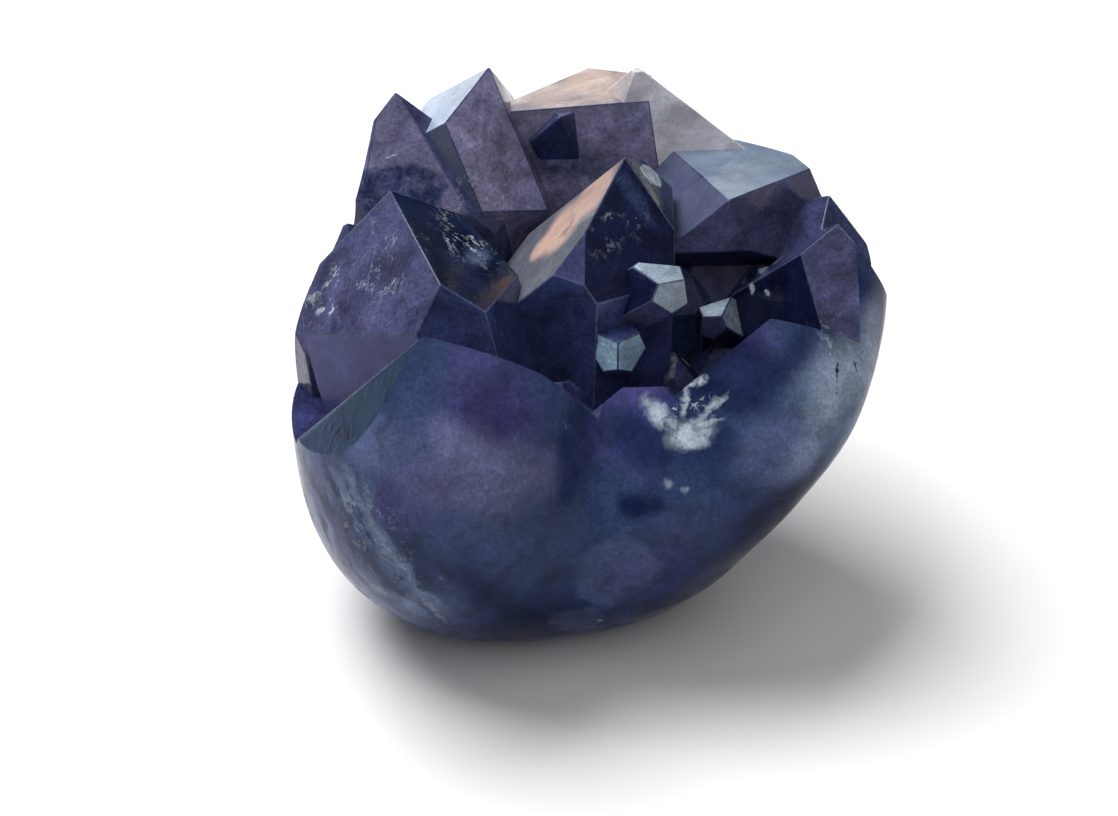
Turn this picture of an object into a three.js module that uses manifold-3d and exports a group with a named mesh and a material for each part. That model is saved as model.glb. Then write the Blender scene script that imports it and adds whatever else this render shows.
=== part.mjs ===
// Amethyst heart: one piece of natural amethyst, ground and polished to a chunky heart on its sides
// and base, with the crystal points of the geode left standing, unpolished, on its upper face.
// Millimetres. X runs across the two lobes, +Y towards the heart's point, +Z up.
// The origin is the middle of the bounding box's base, on the small flat that the heart rests on.

import * as THREE from "three";
import { ConvexGeometry } from "three/addons/geometries/ConvexGeometry.js";
import { mergeVertices } from "three/addons/utils/BufferGeometryUtils.js";
import Module from "manifold-3d";

const wasm = await Module();
wasm.setup();

// The heart's outline at its widest, from the cleft round the right lobe to the point
const CLEFT_TO_POINT = [
  [0, -14.5], [6.5, -21.5], [14.5, -25.5], [23.5, -21.5], [29, -11],
  [28, 0.5], [21.5, 11.5], [11.5, 21], [0, 28],
];
// Lower down the cleft is ground away: its two inner points move out to here
const CLEFT_GROUND = [[0, -24.6], [6.5, -25.6]];
// The rounded underside fades from the heart to an oval of these half axes
const OVAL_ACROSS = 27;
const OVAL_DEEP = 25;

// The polished side, level by level: scale of the outline across, of its lobed front and of its back,
// shift of its centre in X and Y, how much of a heart it is (0 is the oval) and how open its cleft is
const LEVELS = [
  { z: 0, across: 0.4, front: 0.35, back: 0.36, x: -5.0, y: -2.5, heart: 0.15, cleft: 0 },
  { z: 2, across: 0.57, front: 0.5, back: 0.53, x: -5.8, y: -2.4, heart: 0.25, cleft: 0 },
  { z: 6, across: 0.71, front: 0.67, back: 0.72, x: -6.2, y: -1.9, heart: 0.4, cleft: 0 },
  { z: 12, across: 0.81, front: 0.82, back: 0.86, x: -6.1, y: -1.2, heart: 0.6, cleft: 0.08 },
  { z: 20, across: 0.9, front: 0.94, back: 0.95, x: -4.4, y: -0.3, heart: 0.8, cleft: 0.35 },
  { z: 28, across: 0.96, front: 0.95, back: 1, x: -2.1, y: 0.5, heart: 0.95, cleft: 0.85 },
  { z: 36, across: 0.96, front: 0.68, back: 0.99, x: 0.5, y: 0.8, heart: 1, cleft: 1 },
  { z: 50, across: 0.96, front: 0.3, back: 1.06, x: -1.2, y: 1.8, heart: 1, cleft: 1 },
];
// The upper levels tip down to the right: drop per millimetre across, at the top
const TIPPED = 0.18;
const TOP = LEVELS.at(-1).z;
const RINGS = 22;
const STEPS_ROUND = 72;

// Quartz: the six tip faces lean this far from the axis, and the six sides run along it
const TIP_FACE = THREE.MathUtils.degToRad(51.8);

// The bed that the crystals stand on
const BED_TOP = 24;

// The crystals. tip is the point where its faces would meet. lean and toward tilt its axis from +Z,
// spin turns it about the axis, and setBack gives how far each of the six tip faces misses the tip.
const CRYSTALS = [
  // the tall point in the middle
  {
    tip: [4, 2, 46], lean: 3, toward: 51, spin: 107,
    radius: [9, 14, 10.5, 8, 5, 9], setBack: [0, 0, 3, 0, 0, 2],
  },
  // the pair at the left back
  {
    tip: [-5.7, 18.8, 48], lean: 17, toward: 12, spin: 109,
    radius: [9, 6.5, 7, 9, 9, 9], setBack: [0, 0, 3, 0, 0, 3],
  },
  {
    tip: [-15.1, 17, 47], lean: 7, toward: 135, spin: 27,
    radius: [8, 8, 9, 8, 8, 10], setBack: [0, 1, 0.5, 1.4, 0, 0],
  },
  // the broad one at the back, and the crest that rises behind its right end
  {
    tip: [9.9, 15.5, 44], lean: 43, toward: -57, spin: 0,
    radius: [18, 18, 7.2, 18, 18, 18], setBack: [0, 8, 0, 8, 0, 8],
  },
  {
    tip: [9.5, 16.3, 47], lean: 43, toward: -57, spin: 0,
    radius: [18, 18, 0.8, 0.8, 18, 18], setBack: [14, 0, 0, 8, 0, 12],
  },
  // the left one, with its flat side below
  {
    tip: [-18.5, 4.3, 44], lean: 24, toward: 114, spin: 96,
    radius: [9, 11, 9, 12, 9, 8], setBack: [0, 6, 0, 6, 0, 6],
  },
  // the right one, with its broad face up
  {
    tip: [13.8, -0.5, 41.3], lean: 42, toward: -105, spin: 318,
    radius: [14, 9.7, 11, 11, 11, 3.8], setBack: [0, 6, 0, 0, 6, 0],
  },
  // the two at the right edge
  { tip: [24.6, 1.4, 39.3], lean: 4, toward: -20, spin: 64, radius: 5, setBack: [0, 3, 0, 3, 0, 0] },
  {
    tip: [22.9, -6.6, 41], lean: 10, toward: 12, spin: 142,
    radius: [9, 4, 9, 9, 9, 9], setBack: [0, 5, 0, 5, 0, 5],
  },
  // the three whose outer faces were ground into the lobes
  {
    tip: [-19, -15, 40], lean: 0, toward: 0, spin: 180,
    radius: 20, setBack: [0, 14, 14, 5.4, 0, 0],
  },
  { tip: [2, -17, 33.5], lean: 0, toward: 0, spin: 190, radius: 14, setBack: [0, 14, 14, 0, 0, 1] },
  { tip: [14, -14, 36], lean: 0, toward: 0, spin: 130, radius: 18, setBack: [0, 5, 14, 14, 9, 0] },
  // the short ones behind the left one
  { tip: [-22, 9, 38], lean: 6, toward: 160, spin: 75, radius: 6 },
  { tip: [-25, 4.5, 36], lean: 6, toward: 190, spin: 20, radius: 5 },
  { tip: [-16, 11.5, 40], lean: 14, toward: 100, spin: 20, radius: 5 },
  { tip: [-11, 8, 37], lean: 8, toward: 30, spin: 50, radius: 5 },
  // small ones that lie in the hollows
  {
    tip: [0.8, 15.9, 43], lean: 42, toward: -105, spin: 318,
    radius: 3.5, setBack: [0, 2, 0, 0, 2, 0],
  },
  { tip: [7.8, 10.3, 40.6], lean: 5, toward: 90, spin: 250, radius: 2.6 },
  {
    tip: [7, -9.8, 39], lean: 48, toward: -48, spin: 132,
    radius: [3.5, 2.2, 2.2, 2.2, 2.2, 2.2], setBack: [0, 2, 0, 2, 0, 2],
  },
  {
    tip: [10.1, -5.4, 31.5], lean: 48, toward: -139, spin: 41,
    radius: [4, 1.6, 1.6, 1.6, 1.6, 1.6], setBack: [0, 2, 0, 2, 0, 2],
  },
  { tip: [18, -2, 33], lean: 48, toward: -80, spin: 100, radius: 1.2 },
  {
    tip: [0.4, -10.4, 33.2], lean: 48, toward: -103, spin: 77,
    radius: 2.4, setBack: [0, 2, 0, 2, 0, 2],
  },
  { tip: [-8.9, -2, 29], lean: 48, toward: -103, spin: 77, radius: 1 },
  { tip: [-3.2, -1.6, 35], lean: 15, toward: 250, spin: 40, radius: 5 },
  { tip: [17, 8, 38], lean: 0, toward: 0, spin: 18, radius: 8 },
];

// The small crystals that carpet the bed between them, set out along a sunflower spiral
const SMALL = { count: 44, reach: 25, low: 27, high: 32, radius: 3.2, lean: 24 };
const SUNFLOWER_TURN = 137.5;

const AMETHYST = new THREE.MeshStandardMaterial({ color: 0x3b3a63, roughness: 0.22, metalness: 0 });

// A closed geometry as a solid for joins and cuts
function solidOf(geometry) {
  geometry.deleteAttribute("normal");
  geometry.deleteAttribute("uv");
  const merged = mergeVertices(geometry, 1e-5);
  return new wasm.Manifold(
    new wasm.Mesh({
      numProp: 3,
      vertProperties: new Float32Array(merged.attributes.position.array),
      triVerts: new Uint32Array(merged.index.array),
    }),
  );
}

// The heart's outline as points round a closed smooth curve, its cleft open (1) or ground away (0)
function heartOutline(open) {
  const right = CLEFT_TO_POINT.map(([x, y]) => new THREE.Vector3(x, y, 0));
  CLEFT_GROUND.forEach(([x, y], i) => right[i].lerp(new THREE.Vector3(x, y, 0), 1 - open));
  const left = right
    .slice(1, -1)
    .reverse()
    .map((point) => new THREE.Vector3(-point.x, point.y, 0));
  const curve = new THREE.CatmullRomCurve3([...right, ...left], true, "centripetal");
  return curve.getSpacedPoints(STEPS_ROUND).slice(0, STEPS_ROUND);
}

// The polished form: the outline lofted through the levels, closed by a flat foot and a flat top
function polishedHeart() {
  const keys = ["across", "front", "back", "x", "y", "heart", "cleft"];
  const heights = LEVELS.map((level) => level.z);
  const values = LEVELS.flatMap((level) => keys.map((key) => level[key]));
  const between = new THREE.CubicInterpolant(heights, values, keys.length);
  const positions = [];
  for (let ring = 0; ring <= RINGS; ring++) {
    const z = TOP * (ring / RINGS) ** 1.5;
    const [across, front, back, x, y, heart, cleft] = between.evaluate(z);
    for (const point of heartOutline(THREE.MathUtils.clamp(cleft, 0, 1))) {
      const angle = Math.atan2(point.y, point.x);
      const px = THREE.MathUtils.lerp(OVAL_ACROSS * Math.cos(angle), point.x, heart);
      const py = THREE.MathUtils.lerp(OVAL_DEEP * Math.sin(angle), point.y, heart);
      const drop = TIPPED * (z / TOP) * px;
      positions.push(px * across + x, py * (py < 0 ? front : back) + y, z - drop);
    }
  }
  const index = [];
  for (let ring = 0; ring < RINGS; ring++) {
    for (let i = 0; i < STEPS_ROUND; i++) {
      const a = ring * STEPS_ROUND + i;
      const b = ring * STEPS_ROUND + ((i + 1) % STEPS_ROUND);
      index.push(a, b, b + STEPS_ROUND, a, b + STEPS_ROUND, a + STEPS_ROUND);
    }
  }
  const foot = positions.length / 3;
  positions.push(LEVELS[0].x, LEVELS[0].y, 0);
  const crown = foot + 1;
  positions.push(LEVELS.at(-1).x, LEVELS.at(-1).y, TOP);
  const last = RINGS * STEPS_ROUND;
  for (let i = 0; i < STEPS_ROUND; i++) {
    const next = (i + 1) % STEPS_ROUND;
    index.push(foot, next, i);
    index.push(crown, last + i, last + next);
  }
  const geometry = new THREE.BufferGeometry();
  geometry.setAttribute("position", new THREE.Float32BufferAttribute(positions, 3));
  geometry.setIndex(index);
  return solidOf(geometry);
}

// The convex solid on the inner side of every plane
function insidePlanes(planes) {
  const corners = [];
  const meet = new THREE.Matrix3();
  for (let i = 0; i < planes.length; i++) {
    for (let j = i + 1; j < planes.length; j++) {
      for (let k = j + 1; k < planes.length; k++) {
        const [a, b, c] = [planes[i], planes[j], planes[k]];
        const rows = [a, b, c].flatMap((plane) => plane.normal.toArray());
        meet.set(...rows);
        if (Math.abs(meet.determinant()) < 1e-6) continue;
        const corner = new THREE.Vector3(-a.constant, -b.constant, -c.constant);
        corner.applyMatrix3(meet.invert());
        const outside = planes.some((plane) => plane.distanceToPoint(corner) > 1e-6);
        const known = corners.some((other) => other.distanceTo(corner) < 1e-4);
        if (!outside && !known) corners.push(corner);
      }
    }
  }
  return solidOf(new ConvexGeometry(corners));
}

// A quartz crystal: six tip faces over six sides, cut off flat far below its tip
function crystal({ tip, lean, toward, spin, radius, setBack = [0, 1, 0, 1, 0, 1], length = 60 }) {
  const point = new THREE.Vector3(...tip);
  const heading = THREE.MathUtils.degToRad(toward);
  const tilt = new THREE.Quaternion().setFromAxisAngle(
    new THREE.Vector3(-Math.sin(heading), Math.cos(heading), 0),
    THREE.MathUtils.degToRad(lean),
  );
  const axis = new THREE.Vector3(0, 0, 1).applyQuaternion(tilt);
  const planes = [];
  for (let k = 0; k < 6; k++) {
    const around = THREE.MathUtils.degToRad(spin + 60 * k);
    const outward = new THREE.Vector3(Math.cos(around), Math.sin(around), 0).applyQuaternion(tilt);
    const face = outward
      .clone()
      .multiplyScalar(Math.sin(TIP_FACE))
      .addScaledVector(axis, Math.cos(TIP_FACE));
    const distance = Array.isArray(radius) ? radius[k] : radius;
    planes.push(
      new THREE.Plane().setFromNormalAndCoplanarPoint(
        face,
        point.clone().addScaledVector(face, setBack[k]),
      ),
      new THREE.Plane().setFromNormalAndCoplanarPoint(
        outward,
        point.clone().addScaledVector(outward, distance),
      ),
    );
  }
  const root = point.clone().addScaledVector(axis, -length);
  planes.push(new THREE.Plane().setFromNormalAndCoplanarPoint(axis.clone().negate(), root));
  return insidePlanes(planes);
}

// The small crystals: each a little taller, fatter or more tilted than the one before it
function carpet() {
  return Array.from({ length: SMALL.count }, (_, i) => {
    const around = THREE.MathUtils.degToRad(SUNFLOWER_TURN * i);
    const out = SMALL.reach * Math.sqrt((i + 0.5) / SMALL.count);
    const rise = (i * 0.618) % 1;
    const swell = (i * 0.414) % 1;
    return {
      tip: [
        out * Math.cos(around),
        out * Math.sin(around),
        THREE.MathUtils.lerp(SMALL.low, SMALL.high, rise),
      ],
      lean: SMALL.lean * swell,
      toward: SUNFLOWER_TURN * i + 90 * rise,
      spin: 47 * i,
      radius: SMALL.radius * (0.8 + 0.5 * swell),
      setBack: [0, 0.7 * rise, 0, 0.7 * swell, 0, 0.4],
    };
  });
}

// The rough top: the bed with every crystal grown from it
function druse() {
  const bed = new THREE.BoxGeometry(80, 80, BED_TOP + 1).translate(0, 0, (BED_TOP - 1) / 2);
  const grown = [...CRYSTALS, ...carpet()].map(crystal);
  return grown.reduce((rough, next) => rough.add(next), solidOf(bed));
}

// The solid moved so that its box is centred over the origin, as a geometry
function standing(solid) {
  const mesh = solid.getMesh();
  const geometry = new THREE.BufferGeometry();
  geometry.setAttribute("position", new THREE.BufferAttribute(mesh.vertProperties, 3));
  geometry.setIndex(new THREE.BufferAttribute(mesh.triVerts, 1));
  geometry.computeBoundingBox();
  const { min, max } = geometry.boundingBox;
  geometry.translate(-(min.x + max.x) / 2, -(min.y + max.y) / 2, -min.z);
  geometry.computeVertexNormals();
  return geometry;
}

const heart = new THREE.Mesh(standing(polishedHeart().intersect(druse())), AMETHYST);
heart.name = "amethyst_heart";

const group = new THREE.Group();
group.add(heart);

export default group;
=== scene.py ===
import math

import bpy
import numpy as np
from mathutils import Matrix, Quaternion, Vector, noise


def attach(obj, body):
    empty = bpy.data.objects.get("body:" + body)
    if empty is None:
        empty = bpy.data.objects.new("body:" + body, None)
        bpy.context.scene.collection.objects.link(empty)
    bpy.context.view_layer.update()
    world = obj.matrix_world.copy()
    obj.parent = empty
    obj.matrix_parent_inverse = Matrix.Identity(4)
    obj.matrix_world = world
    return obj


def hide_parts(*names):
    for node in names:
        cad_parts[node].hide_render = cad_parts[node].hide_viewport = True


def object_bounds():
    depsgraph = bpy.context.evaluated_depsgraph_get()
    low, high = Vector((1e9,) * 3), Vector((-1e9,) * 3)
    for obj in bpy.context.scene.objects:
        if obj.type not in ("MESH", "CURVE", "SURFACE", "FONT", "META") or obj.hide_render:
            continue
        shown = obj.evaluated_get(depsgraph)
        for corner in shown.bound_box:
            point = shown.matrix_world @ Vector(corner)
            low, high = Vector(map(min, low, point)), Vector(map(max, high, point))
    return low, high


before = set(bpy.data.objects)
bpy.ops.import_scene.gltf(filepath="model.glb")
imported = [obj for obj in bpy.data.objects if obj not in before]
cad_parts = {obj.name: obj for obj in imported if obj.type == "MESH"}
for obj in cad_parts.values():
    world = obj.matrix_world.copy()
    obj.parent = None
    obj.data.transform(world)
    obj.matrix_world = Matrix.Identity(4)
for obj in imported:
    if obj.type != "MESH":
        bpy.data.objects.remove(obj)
cad_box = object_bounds()


# The polished form. A lump sawn from the wall of a geode, ground by hand on a wheel to a chunky heart
# with two lobes, a cleft and a blunt point, and polished. It narrows to an oval foot with a small flat.
# Here it is a cylinder cut into rings, whose points are moved out to the heart. Its sizes are millimetres.
MM = 0.001
CLEFT_TO_POINT = [
    (0, -14.5), (6.5, -21.5), (14.5, -25.5), (23.5, -21.5), (29, -11),
    (28, 0.5), (21.5, 11.5), (11.5, 21), (0, 28),
]
CLEFT_GROUND = [(0, -24.6), (6.5, -25.6)]
STEPS_PER_KNOT = 20
OVAL_ACROSS, OVAL_DEEP = 27, 25
TOP, TIPPED = 50, 0.18
LEVELS = [
    # height, then as shares of the full size its width, front and back, its shift in x and y,
    # how far it is a heart (1) or an oval (0), and how far the cleft is open
    (0, 0.4, 0.35, 0.36, -5.0, -2.5, 0.15, 0),
    (2, 0.57, 0.5, 0.53, -5.8, -2.4, 0.25, 0),
    (6, 0.71, 0.67, 0.72, -6.2, -1.9, 0.4, 0),
    (12, 0.81, 0.82, 0.86, -6.1, -1.2, 0.6, 0.08),
    (20, 0.9, 0.94, 0.95, -4.4, -0.3, 0.8, 0.35),
    (28, 0.96, 0.95, 1, -2.1, 0.5, 0.95, 0.85),
    (36, 0.96, 0.68, 0.99, 0.5, 0.8, 1, 1),
    (50, 0.96, 0.3, 1.06, -1.2, 1.8, 1, 1),
]
RINGS, STEPS_ROUND = 88, 216
CLOSER_LOW_DOWN = 1.5


def smooth_step_on(start, end, leave, arrive, part):
    """The place part of the way from start to end, on a curve that leaves and arrives with these slopes."""
    curve = 2 * part**3 - 3 * part**2
    return (
        (curve + 1) * start - curve * end
        + (part**3 - 2 * part**2 + part) * leave + (part**3 - part**2) * arrive
    )


def between_levels(height):
    """The values of LEVELS at a height, on a smooth curve through the levels."""
    heights = [level[0] for level in LEVELS]
    values = [np.array(level[1:]) for level in LEVELS]
    last = len(LEVELS) - 2
    i = min(max(sum(h <= height for h in heights) - 1, 0), last)
    rise = values[i + 1] - values[i]
    step = heights[i + 1] - heights[i]
    leave = arrive = rise
    if i > 0:
        leave = (rise + (values[i] - values[i - 1]) * step / (heights[i] - heights[i - 1])) / 2
    if i < last:
        arrive = (rise + (values[i + 2] - values[i + 1]) * step / (heights[i + 2] - heights[i + 1])) / 2
    return smooth_step_on(values[i], values[i + 1], leave, arrive, (height - heights[i]) / step)


def heart_outline(opened, count):
    """Points evenly spaced along the heart's outline, its cleft open (1) or ground away (0)."""
    right = [Vector(p) for p in CLEFT_TO_POINT]
    for i, ground in enumerate(CLEFT_GROUND):
        right[i] = right[i].lerp(Vector(ground), 1 - opened)
    knots = right + [Vector((-p.x, p.y)) for p in reversed(right[1:-1])]
    line = []
    for i in range(len(knots)):
        before, start, end, after = (knots[(i + k) % len(knots)] for k in (-1, 0, 1, 2))
        a, b, c = (math.sqrt((q - p).length) for p, q in ((before, start), (start, end), (end, after)))
        leave = ((start - before) / a - (end - before) / (a + b) + (end - start) / b) * b
        arrive = ((end - start) / b - (after - start) / (b + c) + (after - end) / c) * b
        parts = np.linspace(0, 1, STEPS_PER_KNOT, endpoint=False)
        line += [smooth_step_on(start, end, leave, arrive, part) for part in parts]
    line = np.array(line + line[:1])
    along = np.append(0, np.cumsum(np.linalg.norm(np.diff(line, axis=0), axis=1)))
    places = np.linspace(0, along[-1], count, endpoint=False)
    return np.stack([np.interp(places, along, line[:, k]) for k in (0, 1)], axis=1)


bpy.ops.object.select_all(action="DESELECT")
bpy.ops.mesh.primitive_cylinder_add(
    vertices=STEPS_ROUND, radius=OVAL_DEEP, depth=TOP, location=(0, 0, TOP / 2),
)
form = bpy.context.object
form.name = "polished_form"
bpy.ops.object.transform_apply(location=True, rotation=True, scale=True)
bpy.ops.object.mode_set(mode="EDIT")
bpy.ops.mesh.select_mode(type="EDGE")
bpy.ops.mesh.select_all(action="DESELECT")
bpy.ops.object.mode_set(mode="OBJECT")
for edge in form.data.edges:
    bottom, top = sorted(form.data.vertices[v].co.z for v in edge.vertices)
    edge.select = top - bottom > TOP / 2
bpy.ops.object.mode_set(mode="EDIT")
bpy.ops.mesh.subdivide(number_cuts=RINGS - 1)
bpy.ops.object.mode_set(mode="OBJECT")
rings = []
for ring in range(RINGS + 1):
    height = TOP * (ring / RINGS) ** CLOSER_LOW_DOWN
    across, front, back, x, y, heart, cleft = between_levels(height)
    outline = heart_outline(min(max(cleft, 0), 1), STEPS_ROUND)
    angle = np.arctan2(outline[:, 1], outline[:, 0])
    px = OVAL_ACROSS * np.cos(angle) * (1 - heart) + outline[:, 0] * heart
    py = OVAL_DEEP * np.sin(angle) * (1 - heart) + outline[:, 1] * heart
    drop = TIPPED * height / TOP * px
    rings.append(np.stack([px * across + x, py * np.where(py < 0, front, back) + y, height - drop], axis=1))
for vertex in form.data.vertices:
    ring = round(vertex.co.z / TOP * RINGS)
    place = round((math.atan2(vertex.co.x, -vertex.co.y) / math.tau) * STEPS_ROUND) % STEPS_ROUND
    vertex.co = rings[ring][place]

# The stone's colour is in the stone, with some painted light and shade laid in. The broad zones come with the
# finished surface, as its attribute stone_zones_and_painted_light. Patches, veils, cracks and milky flaws are
# laid over them here, by their places in the heart, and so are a few painted shades and painted highlights
# along crystal edges.
INK, NAVY, DUSK = (0.003, 0.007, 0.034), (0.013, 0.022, 0.074), (0.031, 0.050, 0.122)
SLATE, MIST = (0.092, 0.115, 0.23), (0.125, 0.172, 0.27)
PALE, ICE, MILK = (0.22, 0.27, 0.37), (0.38, 0.45, 0.54), (0.42, 0.49, 0.56)
CRISP, SOFT = 0.15, 0.7
PATCHES = [
    # colour, strength, middle in millimetres, reach, how soft its edge is
    (SLATE, 0.3, (-2, -24.5, 14.5), 5, 0.3),         # lighter patches with clear edges
    (SLATE, 0.22, (-5, -22, 8), 3.4, 0.3),
    (INK, 0.85, (0.9, -23.6, 22.3), 2.3, 0.8),       # dark spots
    (INK, 0.8, (-14.2, -24.1, 13.5), 2.4, 0.9),
    (INK, 0.8, (-26.5, -18, 31), 2.2, 0.4),
    (INK, 0.8, (24, 8, 21), 3, CRISP),               # on the right side and the back
    (DUSK, 0.9, (2, 24, 18), 5, CRISP),
]
STREAKS = [
    # colour, strength, from, to, width, how soft its edge is: veils, cracks and clouds that run one way
    (MIST, 0.7, (-26.2, -19.4, 27.6), (-22, -22.9, 19), 1.0, 0.45),          # veils down the left lobe
    (PALE, 0.6, (-22, -22.9, 19), (-17, -20.7, 8.5), 0.6, 0.45),
    (INK, 0.8, (-23.5, -21.5, 25), (-18.5, -23.5, 15), 1.5, 0.6),
    (MIST, 0.8, (-26.5, -19.4, 28.3), (-25.3, -20.4, 26.2), 1.2, SOFT),
    (NAVY, 0.8, (-25.5, -18, 20), (-20.5, -19, 9), 0.8, 0.45),
    # Painted shade below the ground face.
    (INK, 0.8, (-29, -12, 29), (-24, -20, 31), 1.3, 0.6),                    # dark below the ground face
    (INK, 0.7, (5.8, -18.6, 31.3), (9.2, -19.8, 31.8), 1.6, SOFT),           # dark behind the frosty wisps
    (MILK, 0.75, (2.7, -17.9, 29.9), (4.8, -21.2, 28.4), 1.3, SOFT),         # frosty patch beside the cleft
    (MILK, 1.0, (5.0, -21.9, 28.0), (7.2, -22.5, 28.8), 1.9, SOFT),
    (ICE, 0.8, (5.6, -22.2, 27.9), (6.9, -22.7, 28.4), 1.3, SOFT),
    (MILK, 0.8, (5.4, -20.9, 29.6), (6.5, -19.2, 31.7), 0.6, SOFT),          # wisps that rise from it
    (MILK, 0.8, (6.5, -19.2, 31.7), (8.6, -18.9, 32.5), 0.55, SOFT),
    (MILK, 0.8, (6.6, -21.6, 29.3), (9.9, -20.7, 31.6), 0.5, SOFT),
    (MILK, 0.7, (7.0, -22.0, 29.2), (9.4, -22.4, 30.0), 0.4, SOFT),
    (MILK, 0.7, (7.4, -8.6, 25.4), (8.4, -7.3, 27.0), 0.7, SOFT),            # their far end in the hollow
    (MILK, 0.8, (8.4, -6.3, 25.6), (12.9, -6.3, 25.9), 0.9, SOFT),
    (INK, 0.9, (21.9, -17.4, 33.2), (20.6, -20.5, 30.1), 0.16, 0.45),        # cracks down the right lobe
    (INK, 0.9, (20.6, -20.5, 30.1), (21.4, -21.2, 27.4), 0.13, 0.45),
    (INK, 0.9, (23.6, -17.1, 31.9), (22.1, -21.1, 26.8), 0.2, 0.45),
    (PALE, 0.9, (20.5, -15.0, 34.0), (23.2, -16.2, 33.2), 0.3, 0.45),        # chips along its lip
    (PALE, 0.8, (12.5, -5.5, 31.5), (16.9, -1.2, 30.9), 0.8, 0.4),
    (PALE, 0.8, (19.2, -3.2, 34.3), (20.9, -3.2, 33.8), 0.6, 0.4),
    # The two below are painted shade on the lower, down-turned parts of two crystal faces.
    (NAVY, 0.95, (-20.5, 9.3, 38.9), (-11.5, 9.6, 38.7), 3.3, CRISP),        # dark low in a back crystal
    (NAVY, 0.75, (-3, 14.4, 38.3), (6, 13, 37.6), 3.0, SOFT),                # and low in the broad one
    (ICE, 1.0, (7.3, 1.0, 43.0), (8.9, 2.4, 41.8), 1.3, CRISP),              # bright patch on the middle one
    (DUSK, 0.8, (3.4, -0.8, 45.6), (7, -4.5, 40.5), 1.3, SOFT),              # lighter edge beside it
    (MIST, 0.7, (-11.5, -4.6, 38.6), (-8.6, -0.5, 37.6), 1.6, SOFT),         # light foot of a dark face
    (PALE, 0.6, (26.5, -5, 32), (22, 2, 15), 0.9, 0.45),                     # veils down the right side
    (MIST, 0.6, (7, 25, 34), (-4, 22, 10), 1.1, 0.6),                        # down the back
    (PALE, 0.6, (-25, 8, 32), (-19, 10, 13), 0.8, 0.45),                     # and down the left side behind
    # The two light edge lines are painted highlights along crystal ridges.
    (MILK, 0.8, (6.2, -1.2, 44.2), (8.6, 2.2, 42.6), 0.22, 0.5),             # light edge lines
    (MILK, 0.6, (-17.5, 10.6, 42.7), (-12.6, 11.2, 42.4), 0.22, 0.5),
]
SPECKS = [
    # colour, strength, middle, reach, how soft its edge is
    (PALE, 0.9, (-0.7, -24.5, 20.2), 0.8, SOFT),
    (PALE, 0.9, (3.4, -23.8, 24.3), 0.75, SOFT),
    (PALE, 0.9, (5.0, -24.6, 24.0), 0.6, SOFT),
    (PALE, 0.6, (0.7, -24.7, 11.4), 0.6, SOFT),
    (PALE, 0.7, (-2.4, -21.8, 7.4), 0.45, SOFT),
    (PALE, 0.7, (-6.2, -20.2, 30.2), 0.9, SOFT),
    (MILK, 0.9, (16.7, -5.7, 32.7), 0.6, 0.5),               # sparkles in the hollow
    (MILK, 0.9, (17.6, -7.5, 33.2), 0.4, 0.5),
    (MILK, 0.9, (15.1, -5.7, 29.5), 0.5, 0.5),
    (PALE, 0.9, (16.5, -6.7, 28.3), 0.4, 0.5),
    (PALE, 0.8, (20, -3.2, 34), 0.9, 0.4),
    (MILK, 0.8, (-25.7, 0.7, 33.9), 0.8, SOFT),              # on the left edge
    (MILK, 0.8, (-25.4, -1.5, 33.6), 0.6, SOFT),
]
FEATHERS = [
    # strength of the milky threads round a place, middle in millimetres, reach
    (1.0, (-10.5, -1.5, 38.5), 6),                   # the right face of the left crystal
    (0.9, (-24.5, -1, 35), 5),                       # and its weathered left edge
    (0.5, (-19, -4, 39), 6),
    (1.0, (15, 12.4, 42.8), 5),                      # crest of the broad one
    (1.0, (12, 13.4, 45), 3),
    (0.9, (6, -20.5, 30), 3.5),                      # frosty patch beside the cleft
    (0.5, (-24, -20, 22), 7),
    (0.6, (22, -16, 33), 4),
    (0.4, (2, -4, 41), 5),
    (0.5, (-7, 8, 40), 6),
    (0.3, (23, 6, 26), 7),                           # here and there on the sides and the back
    (0.3, (-6, 23, 24), 6),
    (0.3, (-23, 8, 24), 5),
]
SLANT, SLANT_AREA = (0.43, -0.06, -0.90), ((-25, -18, 18), 12)
FLAW_GRAIN, THINNEST_TORN = (0.55, 0.35, 0.75), 0.3

# Noise lies between about 0.3 and 0.7. A mask is nothing where the noise is at the first of two values
# and full at the second. A spread stretches the noise so that it runs from the first value to the second.
NOISE_LOW, NOISE_HIGH, NOISE_SWING = 0.3, 0.7, 0.25
LIGHT_VEILS, DARK_VEILS, FEATHERY = (0.52, 0.6), (0.46, 0.38), (0.27, 0.6)
FLAWED, CRUMBS = (0.46, 0.6), (0.6, 0.67)
UNEVEN_TONE, TORN = (0.7, 1.1), (0.4, 1.3)
MOTTLE, GRAIN = (0.45, 1.55), (0.65, 1.35)

# The sockets for colours on a Mix node, by number.
MIX_UNDER, MIX_OVER, MIXED = 6, 7, 2


def add(tree, kind, *wires, **settings):
    """A node with its settings, its inputs joined to the wires or set to the values given in order."""
    node = tree.nodes.new(kind)
    for name, value in settings.items():
        setattr(node, name, value)
    for socket, wire in zip(node.inputs, wires):
        if isinstance(wire, bpy.types.NodeSocket):
            tree.links.new(wire, socket)
        elif wire is not None:
            socket.default_value = wire
    return node


def mix(tree, share, under, over):
    """The colour over laid on the colour under by a share."""
    node = add(tree, "ShaderNodeMix", share, data_type="RGBA")
    for number, colour in ((MIX_UNDER, under), (MIX_OVER, over)):
        if isinstance(colour, bpy.types.NodeSocket):
            tree.links.new(colour, node.inputs[number])
        else:
            node.inputs[number].default_value = (*colour, 1)
    return node.outputs[MIXED]


def between(tree, value, low, high, strength=1.0):
    """0 at low, the strength at high, smooth between them."""
    node = add(tree, "ShaderNodeMapRange", value, low, high, 0.0, strength, interpolation_type="SMOOTHSTEP")
    return node.outputs[0]


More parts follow.
